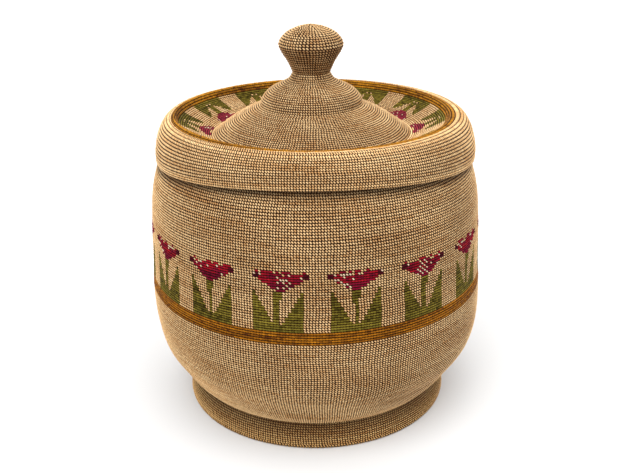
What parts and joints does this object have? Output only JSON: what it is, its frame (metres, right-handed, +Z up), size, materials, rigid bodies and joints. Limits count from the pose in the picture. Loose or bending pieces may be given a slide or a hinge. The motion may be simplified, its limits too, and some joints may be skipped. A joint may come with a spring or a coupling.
{
  "type": "sewing basket",
  "caption": "Round twined-grass sewing basket with a short flared foot, bands of dyed tulips, and a lift-off cap lid with a sunken ring, a tiered dome and a mushroom knob.",
  "frame": {"origin": "centre of the foot, on the surface that the basket stands on", "axes": "+Z up along the axis of revolution, -Y towards the front, +X to the right seen from the front"},
  "size_m": [0.1514, 0.1514, 0.1729],
  "materials": {
    "natural_grass": "split grass, finely twined, satin",
    "green_grass": "dyed grass, satin",
    "crimson_grass": "dyed grass, satin",
    "ochre_grass": "dyed grass, satin"
  },
  "bodies": {
    "basket": {"base": "natural_grass", "foot_hem": "natural_grass", "foot": "natural_grass", "underside": "natural_grass", "lower_wall": "natural_grass", "tulip_wall": "natural_grass", "upper_wall": "natural_grass", "shoulder": "natural_grass", "neck": "natural_grass", "neck_braid": "natural_grass", "ochre_band": "ochre_grass", "tulip_leaves_01": "green_grass", "tulip_leaves_02": "green_grass", "tulip_leaves_03": "green_grass", "tulip_leaves_04": "green_grass", "tulip_leaves_05": "green_grass", "tulip_leaves_06": "green_grass", "tulip_leaves_07": "green_grass", "tulip_leaves_08": "green_grass", "tulip_leaves_09": "green_grass", "tulip_leaves_10": "green_grass", "tulip_leaves_11": "green_grass", "tulip_leaves_12": "green_grass", "tulip_leaves_13": "green_grass", "tulip_leaves_14": "green_grass", "tulip_leaves_15": "green_grass", "tulip_flower_01": "crimson_grass", "tulip_flower_02": "crimson_grass", "tulip_flower_03": "crimson_grass", "tulip_flower_04": "crimson_grass", "tulip_flower_05": "crimson_grass", "tulip_flower_06": "crimson_grass", "tulip_flower_07": "crimson_grass", "tulip_flower_08": "crimson_grass", "tulip_flower_09": "crimson_grass", "tulip_flower_10": "crimson_grass", "tulip_flower_11": "crimson_grass", "tulip_flower_12": "crimson_grass", "tulip_flower_13": "crimson_grass", "tulip_flower_14": "crimson_grass", "tulip_flower_15": "crimson_grass"},
    "lid": {"lid_hem": "natural_grass", "lid_skirt": "natural_grass", "lid_rim": "natural_grass", "lid_recess": "natural_grass", "lid_ochre_band": "ochre_grass", "lid_leaves": "green_grass", "lid_flowers": "crimson_grass", "lid_lower_tier": "natural_grass", "lid_upper_tier": "natural_grass", "knob_stem": "natural_grass", "knob_cap": "natural_grass"}
  },
  "joints": [
    {"name": "lid_lift", "type": "slide", "parent": "basket", "child": "lid", "axis": [0, 0, 1], "range_m": [0, 0.12]}
  ]
}
